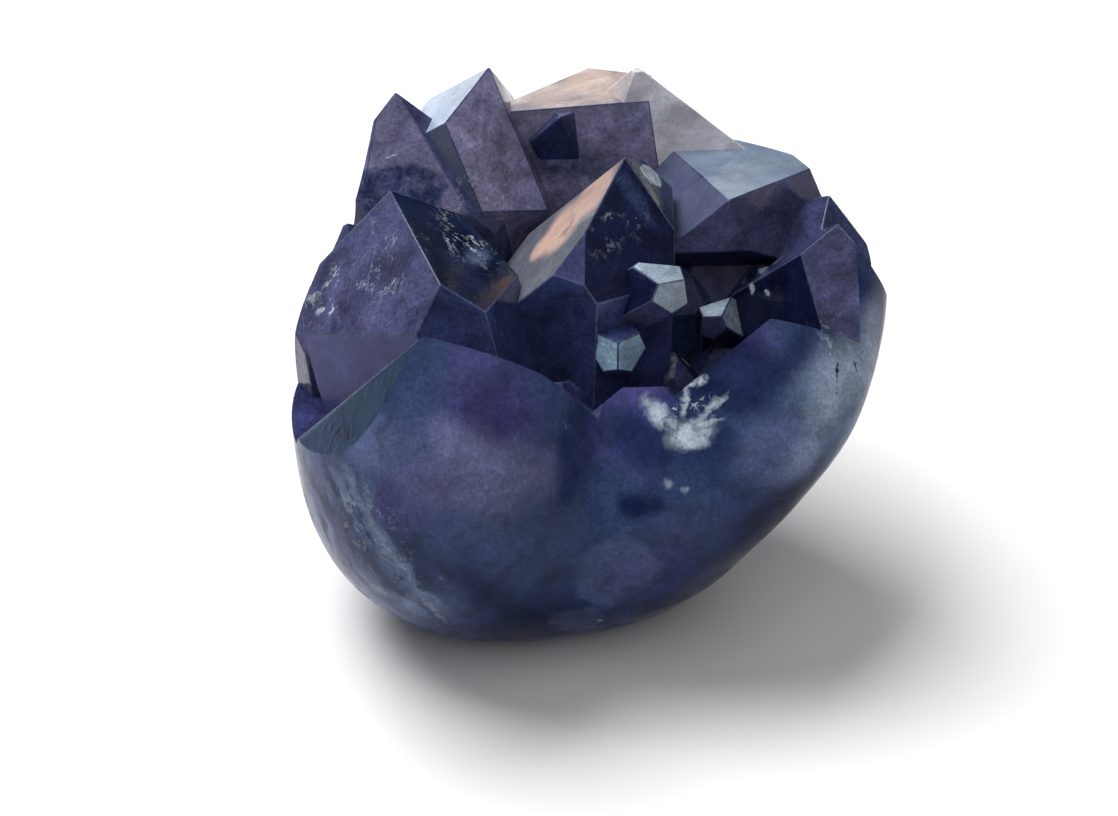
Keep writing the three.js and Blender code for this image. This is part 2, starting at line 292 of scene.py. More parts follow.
def spread(tree, value, low, high):
    """A noise value stretched to run from low to high."""
    return add(tree, "ShaderNodeMapRange", value, NOISE_LOW, NOISE_HIGH, low, high).outputs[0]


def math_node(tree, operation, first, second=None):
    """One step of arithmetic on values."""
    return add(tree, "ShaderNodeMath", first, second, operation=operation).outputs[0]


def shade(tree, colour, factor):
    """The colour made darker or lighter by a factor."""
    node = add(tree, "ShaderNodeVectorMath", colour, operation="SCALE")
    tree.links.new(factor, node.inputs["Scale"])
    return node.outputs[0]


def cloud(tree, places, size, detail=4.0, rough=0.55):
    """Cloudy noise whose features are about size millimetres across."""
    return add(tree, "ShaderNodeTexNoise", places, None, 1 / size, detail, rough).outputs[0]


def pushed(tree, places, size, far):
    """The places pushed about by noise of a size, up to about far millimetres."""
    push = add(tree, "ShaderNodeTexNoise", places, None, 1 / size, 2.0, 0.6).outputs[1]
    push = add(tree, "ShaderNodeVectorMath", push, (0.5, 0.5, 0.5), operation="SUBTRACT").outputs[0]
    push = add(tree, "ShaderNodeVectorMath", push, operation="SCALE")
    push.inputs["Scale"].default_value = far / NOISE_SWING
    return add(tree, "ShaderNodeVectorMath", places, push.outputs[0], operation="ADD").outputs[0]


def drawn_out(tree, places, along, times_longer):
    """The places squeezed along a direction, so that noise laid on them is drawn out along it."""
    node = add(tree, "ShaderNodeMapping", places, vector_type="TEXTURE")
    node.inputs["Rotation"].default_value = Vector(along).to_track_quat("Z", "Y").to_euler()
    node.inputs["Scale"].default_value = (1, 1, times_longer)
    return node.outputs[0]


def spot(tree, places, where, reach, soft, strength=1.0):
    """A round mask: its strength in the middle, 0 from reach millimetres out."""
    away = add(tree, "ShaderNodeVectorMath", places, where, operation="DISTANCE").outputs["Value"]
    return between(tree, away, reach, reach * (1 - soft), strength)


def streak(tree, places, start, end, width, soft, strength):
    """A spindle-shaped mask from start to end: its strength in the middle, 0 from the width out."""
    line = Vector(end) - Vector(start)
    ball = add(tree, "ShaderNodeTexGradient", places, gradient_type="SPHERICAL")
    drawn = ball.texture_mapping
    drawn.vector_type = "TEXTURE"
    drawn.translation = (Vector(start) + Vector(end)) / 2
    drawn.rotation = line.to_track_quat("Z", "Y").to_euler()
    drawn.scale = (width, width, line.length / 2 + width)
    return between(tree, ball.outputs["Fac"], 0, soft, strength)


def threads(tree, places, size, width, detail):
    """Thin wandering lines."""
    from_middle = math_node(tree, "SUBTRACT", cloud(tree, places, size, detail, rough=0.6), 0.5)
    return between(tree, math_node(tree, "ABSOLUTE", from_middle), width, 0)


def stone_colours():
    """The node group with the colour of the stone and its painted light and shade, a mottling factor, the
    milky flaws and the places.
    """
    tree = bpy.data.node_groups.new("amethyst colours", "ShaderNodeTree")
    for name, kind in (("Colour", "Color"), ("Mottle", "Float"), ("Flaws", "Float"), ("Places", "Vector")):
        tree.interface.new_socket(name, in_out="OUTPUT", socket_type="NodeSocket" + kind)
    metres = tree.nodes.new("ShaderNodeTexCoord").outputs["Object"]
    in_mm = add(tree, "ShaderNodeVectorMath", metres, operation="SCALE")
    in_mm.inputs["Scale"].default_value = 1 / MM
    places = in_mm.outputs[0]
    bent = pushed(tree, places, size=6, far=1.6)
    ragged = pushed(tree, places, size=1.3, far=0.35)
    colour = add(tree, "ShaderNodeAttribute", attribute_name="stone_zones_and_painted_light").outputs["Color"]
    for paint, strength, where, reach, soft in PATCHES:
        colour = mix(tree, spot(tree, bent, where, reach, soft, strength), colour, paint)

    # The left lobe has light and dark veils side by side, all on one slant.
    slant = cloud(tree, drawn_out(tree, bent, SLANT, 7), size=2.6, detail=3)
    left = spot(tree, places, *SLANT_AREA, soft=0.5)
    colour = mix(tree, math_node(tree, "MULTIPLY", left, between(tree, slant, *LIGHT_VEILS)), colour, MIST)
    colour = mix(tree, math_node(tree, "MULTIPLY", left, between(tree, slant, *DARK_VEILS)), colour, NAVY)

    # A crystal face has a tone of its own, partly its colour and partly painted light and shade, patchy where
    # it covers the stone's colour thinly.
    tone = add(tree, "ShaderNodeAttribute", attribute_name="face_tone")
    uneven = spread(tree, cloud(tree, bent, size=4, detail=2), *UNEVEN_TONE)
    cover = math_node(tree, "MULTIPLY", tone.outputs["Alpha"], uneven)
    cover = add(tree, "ShaderNodeClamp", cover).outputs[0]
    colour = mix(tree, cover, colour, tone.outputs["Color"])

    # Veils and clouds are torn along their edges, milky ones into feathers. The thinnest stay whole.
    torn = cloud(tree, ragged, size=1.0, detail=5, rough=0.7)
    feathery = between(tree, torn, *FEATHERY)
    torn = spread(tree, torn, *TORN)
    for paint, strength, start, end, width, soft in STREAKS:
        mask = streak(tree, ragged, start, end, width, soft, strength)
        if width > THINNEST_TORN:
            mask = math_node(tree, "MULTIPLY", mask, feathery if paint == MILK else torn)
        colour = mix(tree, mask, colour, paint)
    for paint, strength, where, reach, soft in SPECKS:
        colour = mix(tree, spot(tree, ragged, where, reach, soft, strength), colour, paint)

    # Milky threads and crumbs lie in patches near the feathered places.
    near = None
    for strength, where, reach in FEATHERS:
        mask = spot(tree, bent, where, reach, 0.8, strength)
        near = math_node(tree, "MAXIMUM", near, mask) if near else mask
    patchy = between(tree, cloud(tree, places, size=2.2, detail=2, rough=0.6), *FLAWED)
    near = math_node(tree, "MULTIPLY", near, patchy)
    lines = threads(tree, drawn_out(tree, ragged, FLAW_GRAIN, 3), size=1.8, width=0.03, detail=4)
    crumbs = between(tree, cloud(tree, places, size=0.7, detail=3, rough=0.7), *CRUMBS)
    flaws = math_node(tree, "MULTIPLY", math_node(tree, "MAXIMUM", lines, crumbs), near)
    colour = mix(tree, flaws, colour, MILK)

    mottle = spread(tree, cloud(tree, bent, size=3.5, detail=3, rough=0.65), *MOTTLE)
    grain = spread(tree, cloud(tree, places, size=0.35, detail=2, rough=0.7), *GRAIN)
    mottle = math_node(tree, "MULTIPLY", mottle, grain)
    out = tree.nodes.new("NodeGroupOutput")
    for name, wire in (("Colour", colour), ("Mottle", mottle), ("Flaws", flaws), ("Places", places)):
        tree.links.new(wire, out.inputs[name])
    return tree


# Every finish of the stone has its own gloss, clearness, mottling and relief.
QUARTZ_IOR = 1.544
DEEP_TINT, DEEP_TINT_PER_METRE = (0.30, 0.22, 0.62, 1), 130
LEAST_DULL, MOST_DULL, FLAWS_DULL = 0.6, 1.4, 0.3
SCRATCHES, SCRATCHES_RUN = -0.05, (0.6, 0.1, 0.8)
COLOURS = stone_colours()


def amethyst(name, rough, shine, clear, mottled, depth, relief):
    """A finish of the stone. Its relief is depth millimetres deep."""
    finish = bpy.data.materials.new(name)
    finish.use_nodes = True
    tree = finish.node_tree
    shader = tree.nodes["Principled BSDF"]
    stone = add(tree, "ShaderNodeGroup", node_tree=COLOURS)
    places = stone.outputs["Places"]
    shader.inputs["Transmission Weight"].default_value = clear
    shader.inputs["IOR"].default_value = QUARTZ_IOR
    shader.inputs["Specular IOR Level"].default_value = shine
    dull = spread(tree, cloud(tree, places, size=3, detail=1), rough * LEAST_DULL, rough * MOST_DULL)
    dull = math_node(tree, "ADD", math_node(tree, "MULTIPLY", stone.outputs["Flaws"], FLAWS_DULL), dull)
    tree.links.new(dull, shader.inputs["Roughness"])
    mottle = add(tree, "ShaderNodeMapRange", stone.outputs["Mottle"], 0, 1, 1 - mottled, 1, clamp=False)
    tree.links.new(shade(tree, stone.outputs["Colour"], mottle.outputs[0]), shader.inputs["Base Color"])
    bump = add(tree, "ShaderNodeBump")
    bump.inputs["Strength"].default_value = 1
    bump.inputs["Distance"].default_value = depth * MM
    tree.links.new(relief(tree, places), bump.inputs["Height"])
    tree.links.new(bump.outputs[0], shader.inputs["Normal"])
    deep = add(tree, "ShaderNodeVolumeAbsorption", DEEP_TINT, DEEP_TINT_PER_METRE)
    tree.links.new(deep.outputs[0], tree.nodes["Material Output"].inputs["Volume"])
    return finish


def wheel_marks(tree, places):
    """Faint waves and fine scratches left by the wheel."""
    waves = cloud(tree, places, size=6, detail=1)
    scratches = threads(tree, drawn_out(tree, places, SCRATCHES_RUN, 12), size=0.9, width=0.02, detail=1)
    return math_node(tree, "ADD", waves, math_node(tree, "MULTIPLY", scratches, SCRATCHES))


form.data.materials.append(amethyst(
    "polished amethyst", rough=0.22, shine=0.045, clear=0.08, mottled=0.65, depth=0.05, relief=wheel_marks,
))
UNTONED = [0, 0, 0, 0]


def tone_faces(piece, tones):
    """Keeps a colour, and how far it covers the colour in the stone, with every face of a piece."""
    piece.data.attributes.new("face_tone", "FLOAT_COLOR", "FACE").data.foreach_set("color", tones)


tone_faces(form, UNTONED * len(form.data.polygons))


# The rough top. It is the lining of the geode, left as it grew: quartz crystals side by side on one bed,
# each with six tip faces at quartz's own angle and six sides. Each is cut from a block, face by face, its
# edges are worn a little, and it is joined to the bed, because they are one growth with the lump.
STEPS_RUN, PITS = (0.9, 0.3, 0.1), 0.5


def growth_marks(tree, places):
    """Level growth steps and small pits on the crystal faces."""
    steps = cloud(tree, drawn_out(tree, places, STEPS_RUN, 5), size=0.9, detail=2, rough=0.6)
    pits = cloud(tree, places, size=0.8, detail=2, rough=0.65)
    return math_node(tree, "ADD", steps, math_node(tree, "MULTIPLY", pits, PITS))


GROWN = [
    # name, roughness, shine, clearness, mottling, depth of the relief
    amethyst("crystal faces", 0.15, 0.13, 0.25, 0.9, 0.04, growth_marks),
    amethyst("clouded faces", 0.25, 0.09, 0.06, 0.35, 0.03, growth_marks),
    amethyst("iron-stained faces", 0.35, 0.2, 0.06, 0.4, 0.08, growth_marks),
    amethyst("frosted faces", 0.4, 0.3, 0.1, 0.7, 0.12, growth_marks),
]
CLEAR, CLOUDED, STAINED, FROSTED = range(4)
LOOKS = {
    # finish, colour, how far it covers the colour in the stone (past 1, also where the tone is patchy)
    "plain": (CLEAR, NAVY, 0),
    # Worn edges are a little lighter: partly the chipped quartz, partly a painted highlight along them.
    "edge": (CLEAR, (0.12, 0.14, 0.23), 0.35),
    # The clear tones from mallow down to teal are partly the amethyst's own colour and partly painted light
    # and painted shade: one stone made lighter or darker face by face, by how much light each face catches.
    "mallow": (CLEAR, (0.275, 0.26, 0.43), 0.85),
    "lilac": (CLEAR, (0.158, 0.150, 0.262), 0.85),
    "mauve": (CLEAR, (0.083, 0.082, 0.180), 0.85),
    "violet": (CLEAR, (0.15, 0.142, 0.30), 0.85),
    "dusky": (CLEAR, (0.058, 0.062, 0.150), 0.85),
    "deep": (CLEAR, (0.034, 0.046, 0.135), 0.93),
    "gloom": (CLEAR, (0.024, 0.030, 0.092), 0.9),
    "night": (CLEAR, (0.008, 0.011, 0.042), 1.2),
    "teal": (CLEAR, (0.002, 0.009, 0.038), 1.35),
    "sea": (CLOUDED, (0.005, 0.021, 0.055), 1.4),
    "grey": (CLOUDED, (0.080, 0.095, 0.150), 0.9),
    # Pale and sky are painted reflections of the bright window behind, on faces turned up towards it.
    "pale": (CLOUDED, (0.155, 0.20, 0.265), 0.95),
    "sky": (CLOUDED, (0.35, 0.42, 0.53), 0.93),
    "milky": (CLOUDED, (0.070, 0.072, 0.200), 0.85),
    "smoke": (CLOUDED, (0.80, 0.77, 0.84), 0.85),
    "stain": (STAINED, (0.14, 0.145, 0.17), 0.9),
    "light stain": (STAINED, (0.21, 0.19, 0.186), 0.9),
    "peach": (STAINED, (0.60, 0.54, 0.52), 0.9),
    "frost": (FROSTED, (0.27, 0.335, 0.40), 0.95),
    "blue frost": (FROSTED, (0.34, 0.52, 0.64), 0.95),
}

# The iron stain is a thin pinkish orange skin that follows the curved growth lines of the face it lies on.
RUST, RUST_RUNS = (0.61, 0.41, 0.33), (-0.45, 0.2, -0.87)
RUST_LINES, RUST_PATCHES = (0.6, 1.0), (0.3, 0.5)
RUST_SPOTS = [
    # strength, middle, reach
    (0.9, (2.2, -0.4, 42.4), 4),
    (1, (-1.2, 0, 38.8), 4.2),
    (0.9, (-3.2, 1, 36.2), 2),
    (0.4, (3, 22, 43), 10),
    (0.3, (9, 20, 43), 6),
]
stain = GROWN[STAINED].node_tree
laid_on = stain.nodes["Principled BSDF"].inputs["Base Color"]
under = laid_on.links[0].from_socket
inside = next(node for node in stain.nodes if node.type == "GROUP").outputs["Places"]
curved = pushed(stain, inside, size=6, far=1.2)
lines = cloud(stain, drawn_out(stain, curved, RUST_RUNS, 9), size=0.7, detail=4, rough=0.6)
patches = between(stain, cloud(stain, inside, size=3.5, detail=4, rough=0.5), *RUST_PATCHES)
rust = math_node(stain, "MULTIPLY", spread(stain, lines, *RUST_LINES), patches)
for strength, where, reach in RUST_SPOTS:
    spotted = math_node(stain, "MULTIPLY", rust, spot(stain, inside, where, reach, 0.5, strength))
    under = mix(stain, spotted, under, RUST)
stain.links.new(under, laid_on)

TIP_FACE = math.radians(51.8)
CRYSTAL_LENGTH, BLOCK = 60, 180
BED_ACROSS, BED_TOP, BED_FOOT = 80, 24, -1
WORN_EDGE, ROUNDED_IN = 0.12, 2
SAME_WAY = 0.9999
EVEN = (0, 1, 0, 1, 0, 1)
LARGE_CRYSTALS = [
    # tip, lean and the way it leans, spin, how far out each side is, how far each tip face misses the tip,
    # looks of the faces
    ((4, 2, 46), 3, 51, 107, (9, 14, 10.5, 8, 5, 9), (0, 0, 3, 0, 0, 2),
     {"tip1": "stain", "tip2": "dusky", "tip3": "night", "tip4": "teal", "side2": "deep", "side3": "deep"}),
    # Its tip1 face, sky, is a painted reflection of the window.
    ((-5.7, 18.8, 48), 17, 12, 109, (9, 6.5, 7, 9, 9, 9), (0, 0, 3, 0, 0, 3),
     {"tip1": "sky", "tip3": "mallow", "tip4": "lilac", "side2": "grey", "side3": "lilac"}),
    ((-15.1, 17, 47), 7, 135, 27, (8, 8, 9, 8, 8, 10), (0, 1, 0.5, 1.4, 0, 0),
     {"tip3": "violet", "tip4": "lilac", "tip5": "dusky",
      "side3": "grey", "side4": "dusky", "side5": "dusky"}),
    ((9.9, 15.5, 44), 43, -57, 0, (18, 18, 7.2, 18, 18, 18), (0, 8, 0, 8, 0, 8),
     {"tip2": "light stain", "tip4": "mallow", "tip5": "mallow", "side3": "mallow"}),
    ((9.5, 16.3, 47), 43, -57, 0, (18, 18, 0.8, 0.8, 18, 18), (14, 0, 0, 8, 0, 12),
     {"tip4": "smoke", "side3": "peach", "tip2": "peach", "side2": "smoke", "edge": "smoke"}),
    ((-18.5, 4.3, 44), 24, 114, 96, (9, 11, 9, 12, 9, 8), (0, 6, 0, 6, 0, 6),
     {"tip2": "mauve", "tip4": "teal", "side2": "milky", "side3": "deep", "side4": "deep"}),
    # Its tip2 face, pale, is a painted reflection of the window.
    ((13.8, -0.5, 41.3), 42, -105, 318, (14, 9.7, 11, 11, 11, 3.8), (0, 6, 0, 0, 6, 0),
     {"tip0": "mauve", "tip2": "pale", "tip3": "grey", "tip5": "violet",
      "side4": "gloom", "side5": "gloom"}),
    ((24.6, 1.4, 39.3), 4, -20, 64, (5,) * 6, (0, 3, 0, 3, 0, 0),
     {"tip2": "dusky", "tip4": "dusky", "tip1": "sea"}),
    ((22.9, -6.6, 41), 10, 12, 142, (9, 4, 9, 9, 9, 9), (0, 5, 0, 5, 0, 5),
     {"tip0": "dusky", "tip2": "mauve", "side1": "night"}),
    ((-19, -15, 40), 0, 0, 180, (20,) * 6, (0, 14, 14, 5.4, 0, 0),
     {"tip0": "sea", "tip3": "dusky"}),
    ((2, -17, 33.5), 0, 0, 190, (14,) * 6, (0, 14, 14, 0, 0, 1),
     {"tip0": "dusky"}),
    ((14, -14, 36), 0, 0, 130, (18,) * 6, (0, 5, 14, 14, 9, 0),
     {"tip1": "night", "tip0": "dusky"}),
]
# Short ones fill the gaps between the large ones. Most of their faces are painted dark: a painted shade for
# the little light that comes down to them.
PAINTED_SHADE = {"tip0": "deep", "tip1": "dusky", "tip2": "night", "tip3": "deep", "tip4": "dusky", "tip5": "deep"}
SHORT_CRYSTALS = [
    ((-22, 9, 38), 6, 160, 75, (6,) * 6, EVEN, {"tip2": "mauve", "tip3": "violet"}),
    ((-25, 4.5, 36), 6, 190, 20, (5,) * 6, EVEN, {"tip3": "mauve", "tip4": "violet"}),
    ((-16, 11.5, 40), 14, 100, 20, (5,) * 6, EVEN, PAINTED_SHADE),
    ((-11, 8, 37), 8, 30, 50, (5,) * 6, EVEN, PAINTED_SHADE),
    ((-3.2, -1.6, 35), 15, 250, 40, (5,) * 6, EVEN, PAINTED_SHADE),
    ((17, 8, 38), 0, 0, 18, (8,) * 6, EVEN, {**PAINTED_SHADE, "side3": "night", "side4": "night"}),
    ((0.8, 15.9, 43), 42, -105, 318, (3.5,) * 6, (0, 2, 0, 0, 2, 0),
     {"tip0": "dusky", "tip5": "deep", "tip4": "dusky", "edge": "deep"}),
    ((7.8, 10.3, 40.6), 5, 90, 250, (2.6,) * 6, EVEN, PAINTED_SHADE),
    ((7, -9.8, 39), 48, -48, 132, (3.5, 2.2, 2.2, 2.2, 2.2, 2.2), (0, 2, 0, 2, 0, 2),
     {**PAINTED_SHADE, "tip0": "frost", "tip2": "frost", "side1": "night", "side2": "dusky"}),
    ((10.1, -5.4, 31.5), 48, -139, 41, (4, 1.6, 1.6, 1.6, 1.6, 1.6), (0, 2, 0, 2, 0, 2),
     {**PAINTED_SHADE, "tip0": "frost", "side5": "frost", "side4": "night"}),
    ((18, -2, 33), 48, -80, 100, (1.2,) * 6, EVEN, {**PAINTED_SHADE, "tip0": "frost", "tip1": "frost"}),
    ((0.4, -10.4, 33.2), 48, -103, 77, (2.4,) * 6, (0, 2, 0, 2, 0, 2),
     {**PAINTED_SHADE, "tip2": "blue frost", "tip4": "blue frost"}),
    ((-8.9, -2, 29), 48, -103, 77, (1,) * 6, EVEN, {"tip0": "frost", "tip1": "frost"}),
]
# The smallest carpet the bed, each turned on from the last as the seeds of a sunflower are. Their heights
# and widths go up and down in steps of their own, so that no two are alike.
CARPET = {
    "count": 44, "reach": 25, "low": 27, "high": 32, "lean": 24, "leans_round": 90,
    "radius": 3.2, "thinnest": 0.8, "thicker": 0.5, "missed": 0.7, "last_missed": 0.4,
}
SUNFLOWER_TURN, SPIN_STEP = 137.5, 47
HEIGHT_STEP, WIDTH_STEP = 0.618, 0.414
UNSEEN = ["violet", "dusky", "plain", "mauve", "night", "grey", "dusky", "lilac"]


def cut_crystal(number, tip, lean, toward, spin, sides, set_back, looks):
    """One crystal, cut from a block by its tip faces, its sides and its root, with worn edges.

    A face that looks doesn't name takes one of UNSEEN, by the crystal's number and its own.
    """
    heading = math.radians(toward)
    tilt = Quaternion((-math.sin(heading), math.cos(heading), 0), math.radians(lean))
    axis = tilt @ Vector((0, 0, 1))
    point = Vector(tip)
    cuts = {"root": (-axis, point - axis * CRYSTAL_LENGTH)}
    for k in range(6):
        around = math.radians(spin + 60 * k)
        outward = tilt @ Vector((math.cos(around), math.sin(around), 0))
        face = outward * math.sin(TIP_FACE) + axis * math.cos(TIP_FACE)
        cuts["tip%d" % k] = (face, point + face * set_back[k])
        cuts["side%d" % k] = (outward, point + outward * sides[k])
    bpy.ops.object.select_all(action="DESELECT")
    bpy.ops.mesh.primitive_cube_add(size=BLOCK, location=point)
    crystal = bpy.context.object
    bpy.ops.object.transform_apply(location=True, rotation=True, scale=True)
    bpy.ops.object.mode_set(mode="EDIT")
    for normal, place in cuts.values():
        bpy.ops.mesh.select_all(action="SELECT")
        bpy.ops.mesh.bisect(plane_co=place, plane_no=normal, use_fill=True, clear_outer=True)
    bpy.ops.object.mode_set(mode="OBJECT")
    worn = crystal.modifiers.new("worn edges", "BEVEL")
    worn.width = WORN_EDGE
    worn.segments = ROUNDED_IN
    worn.limit_method = "NONE"
    bpy.ops.object.modifier_apply(modifier=worn.name)
    for material in GROWN:
        crystal.data.materials.append(material)
    tones = []
    for polygon in crystal.data.polygons:
        look = looks.get("edge", "edge")
        for k, (name, (normal, _)) in enumerate(cuts.items()):
            if polygon.normal.dot(normal) > SAME_WAY:
                look = looks.get(name, UNSEEN[(3 * number + 5 * k) % len(UNSEEN)])
        finish, colour, cover = LOOKS[look]
        polygon.material_index = finish
        tones += [*colour, cover]
    tone_faces(crystal, tones)
    return crystal


crystals = [cut_crystal(i, *row) for i, row in enumerate(LARGE_CRYSTALS + SHORT_CRYSTALS)]
for i in range(CARPET["count"]):
    turn = math.radians(SUNFLOWER_TURN * i)
    out = CARPET["reach"] * math.sqrt((i + 0.5) / CARPET["count"])
    rise, swell = (i * HEIGHT_STEP) % 1, (i * WIDTH_STEP) % 1
    tip_height = CARPET["low"] * (1 - rise) + CARPET["high"] * rise
    crystals.append(cut_crystal(
        i, (out * math.cos(turn), out * math.sin(turn), tip_height),
        lean=CARPET["lean"] * swell, toward=SUNFLOWER_TURN * i + CARPET["leans_round"] * rise,
        spin=SPIN_STEP * i, sides=(CARPET["radius"] * (CARPET["thinnest"] + CARPET["thicker"] * swell),) * 6,
        set_back=(0, CARPET["missed"] * rise, 0, CARPET["missed"] * swell, 0, CARPET["last_missed"]),
        looks=PAINTED_SHADE,
    ))

bpy.ops.object.select_all(action="DESELECT")
bpy.ops.mesh.primitive_cube_add(size=1, location=(0, 0, (BED_TOP + BED_FOOT) / 2))
heart = bpy.context.object
heart.name = "heart"
heart.scale = (BED_ACROSS, BED_ACROSS, BED_TOP - BED_FOOT)
bpy.ops.object.transform_apply(location=True, rotation=True, scale=True)
heart.data.materials.append(GROWN[CLEAR])
tone_faces(heart, UNTONED * len(heart.data.polygons))


# The heart in one: crystals and bed are joined, and what is outside the polished form is ground away, so rim
# crystals are cut off flush with it. It is set in the middle of the CAD model's box, in metres, with its flat
# on the ground, and the few points up to 0.06 mm outside that box are moved onto its sides.
SHARP_EDGE = math.radians(14)


def carve(piece, other, operation):
    """Joins the other solid to the piece, or keeps only what both share."""
    joint = piece.modifiers.new("carve", "BOOLEAN")
    joint.operation = operation
    joint.solver = "MANIFOLD"
    joint.material_mode = "TRANSFER"
    joint.object = other
    bpy.ops.object.select_all(action="DESELECT")
    bpy.context.view_layer.objects.active = piece
    bpy.ops.object.modifier_apply(modifier=joint.name)
    bpy.data.objects.remove(other, do_unlink=True)


for crystal in crystals:
    carve(heart, crystal, "UNION")
carve(heart, form, "INTERSECT")
shaped = np.array([vertex.co for vertex in heart.data.vertices])
low, high = (np.array(corner) for corner in cad_box)
shift = (low + high) / 2 / MM - (shaped.min(0) + shaped.max(0)) / 2
shift[2] = -shaped[:, 2].min()
for vertex, place in zip(heart.data.vertices, shaped):
    vertex.co = np.clip((place + shift) * MM, low, high)
bpy.ops.object.select_all(action="DESELECT")
heart.select_set(True)
bpy.context.view_layer.objects.active = heart
bpy.ops.object.shade_smooth_by_angle(angle=SHARP_EDGE)

# The broad zones run through the whole stone, so they are worked out once, at every point of the finished
# surface, over a wide drift of navy, dusk and haze. Many are colour in the stone; the rest are painted shade
# at the foot, on the flanks, under the lobe's lip and below the cleft, and painted sheen and reflection on
# the lobes.
# A crystal face takes the colour at its middle.
PLUM, HAZE, MALLOW = (0.028, 0.026, 0.098), (0.060, 0.055, 0.175), (0.108, 0.115, 0.220)
WANDER, WANDER_SIZE, FINE_SHARE, FINE_SIZE, WANDER_SEED = 1.3, 6, 0.4, 2.2, 3
DUSK_SIZE, DUSK_RISE = 15, (-0.25, 0.25)
HAZE_SIZE, HAZE_RISE, HAZE_SHARE = 10, (0.05, 0.35), 0.7
ZONES = [
    # colour, strength, from, to, reach in millimetres, how soft its edge is
    (HAZE, 0.7, (-13, -22, 33), (-13, -22, 33), 8, SOFT),                    # haze high on the left lobe
    (MALLOW, 0.9, (-15, -26, 29), (-15, -26, 29), 8.5, 0.9),                 # cloud below it
    (MALLOW, 0.85, (-22, -21.5, 31.5), (-8, -24.5, 27), 5.5, 0.9),
    # Painted shade: darker under the lobe's lip.
    (PLUM, 0.9, (-14.5, -22, 34.2), (-11, -22.8, 33.2), 3.8, SOFT),          # dark under its lip
    (DUSK, 0.8, (-17, -25, 23.5), (-17, -25, 23.5), 6, SOFT),
    (DUSK, 0.9, (-11, -25.8, 20), (-11, -25.8, 20), 6.5, SOFT),
    # Painted sheen on the left: the light beside the ground face and the lighter, bluish left wall.
    (SLATE, 0.8, (-24, -21, 31), (-24, -21, 31), 4, 0.6),                    # light beside the ground face
    (SLATE, 0.5, (-28, -13, 24), (-28, -13, 24), 8, SOFT),                   # bluish left wall
    (SLATE, 0.5, (-23, -18, 12), (-23, -18, 12), 7, SOFT),
    (MIST, 0.5, (-25.5, -20.5, 27), (-17.5, -22.3, 10), 2.4, 0.6),           # broad veil down it
    (INK, 0.6, (-16.5, -25.5, 17), (-12.5, -24, 11), 3, SOFT),
    # Painted shade: darker at the foot of the front.
    (INK, 0.95, (-10, -22, 7), (-10, -22, 7), 10, SOFT),                     # dark foot of the front
    (NAVY, 0.9, (4, -24, 14), (4, -24, 14), 7, SOFT),
    # Painted shade in the groove below the cleft.
    (NAVY, 0.95, (-1, -18, 28), (4, -22.5, 26.5), 4.6, SOFT),                # below the cleft
    (SLATE, 0.8, (14, -24, 26), (14, -24, 26), 6, SOFT),                     # right lobe
    (MIST, 0.8, (20, -20.5, 29.5), (20, -20.5, 29.5), 7, SOFT),
    (INK, 0.9, (11, -19.5, 33), (11, -19.5, 33), 5, 0.5),                    # dark sweep beside it
    (NAVY, 0.9, (9, -23, 27), (9, -23, 27), 3.5, SOFT),
    (NAVY, 0.8, (9.2, -20.4, 31.6), (18.5, -18, 34), 2.4, 0.5),
    # Painted shade: the right flank and the front darker low down.
    (INK, 0.95, (14, -24, 15), (14, -24, 15), 9, SOFT),                      # dark right flank
    (INK, 0.9, (5, -20, 8), (5, -20, 8), 6, SOFT),
    # Painted reflection of the white paper on the right side of the right lobe.
    (PALE, 0.95, (22.8, -17.2, 32.6), (20, -21.2, 29.5), 3.8, SOFT),         # light side of the right lobe
    (PALE, 0.9, (26.5, -13.5, 33.5), (23.5, -18.8, 28), 3.2, SOFT),
    (PALE, 0.6, (20, -21.2, 29.5), (15.5, -24.6, 25.5), 3.2, SOFT),
    # Painted shade: the right flank darker under the lobe and down to the foot.
    (INK, 0.85, (25, -18.5, 25), (19, -23.8, 20.5), 2.6, SOFT),              # dark right flank under it
    (INK, 0.9, (20, -22.5, 22.5), (10.5, -26.5, 19.5), 3.2, SOFT),
    (INK, 0.9, (19, -23.8, 20.5), (9, -20, 6), 4.5, SOFT),
    (SLATE, 0.6, (24, -9, 37), (24, -9, 37), 4, SOFT),
    (SLATE, 0.8, (25, 0, 25), (25, 0, 25), 7, SOFT),                         # the right side
    (HAZE, 0.9, (20, 12, 30), (20, 12, 30), 7, SOFT),
    # Painted shade: darker low down on the right side.
    (INK, 0.9, (22, 2, 11), (22, 2, 11), 8, SOFT),
    (MIST, 0.6, (24, 5, 33), (17, 14, 14), 1.8, SOFT),
    (SLATE, 0.7, (11, 22, 34), (15, 19, 24), 5, 0.9),                        # the point and the back
    (MALLOW, 0.9, (-5, 25, 28), (-5, 25, 28), 7, SOFT),
    (MIST, 0.6, (-9, 24, 33), (-7, 22, 16), 2, SOFT),
    # Painted shade: darker low down at the back.
    (INK, 0.9, (-2, 20, 8), (-2, 20, 8), 9, SOFT),
    (SLATE, 0.8, (-20, 14, 27), (-20, 14, 27), 6, SOFT),                     # the left side behind
    (HAZE, 0.8, (-25, 3, 24), (-25, 3, 24), 5, SOFT),
    # Painted shade: darker low down on the left side behind.
    (INK, 0.9, (-20, 8, 13), (-20, 8, 13), 7, SOFT),
]

# The zones wander by noise from a fixed seed, so every run paints the same stone.
noise.seed_set(WANDER_SEED)


def smooth_rise(value, low, high):
    """0 at low, 1 at high, smooth between them."""
    part = np.clip((value - low) / (high - low), 0, 1)
    return (part * part * (3 - 2 * part))[:, None]


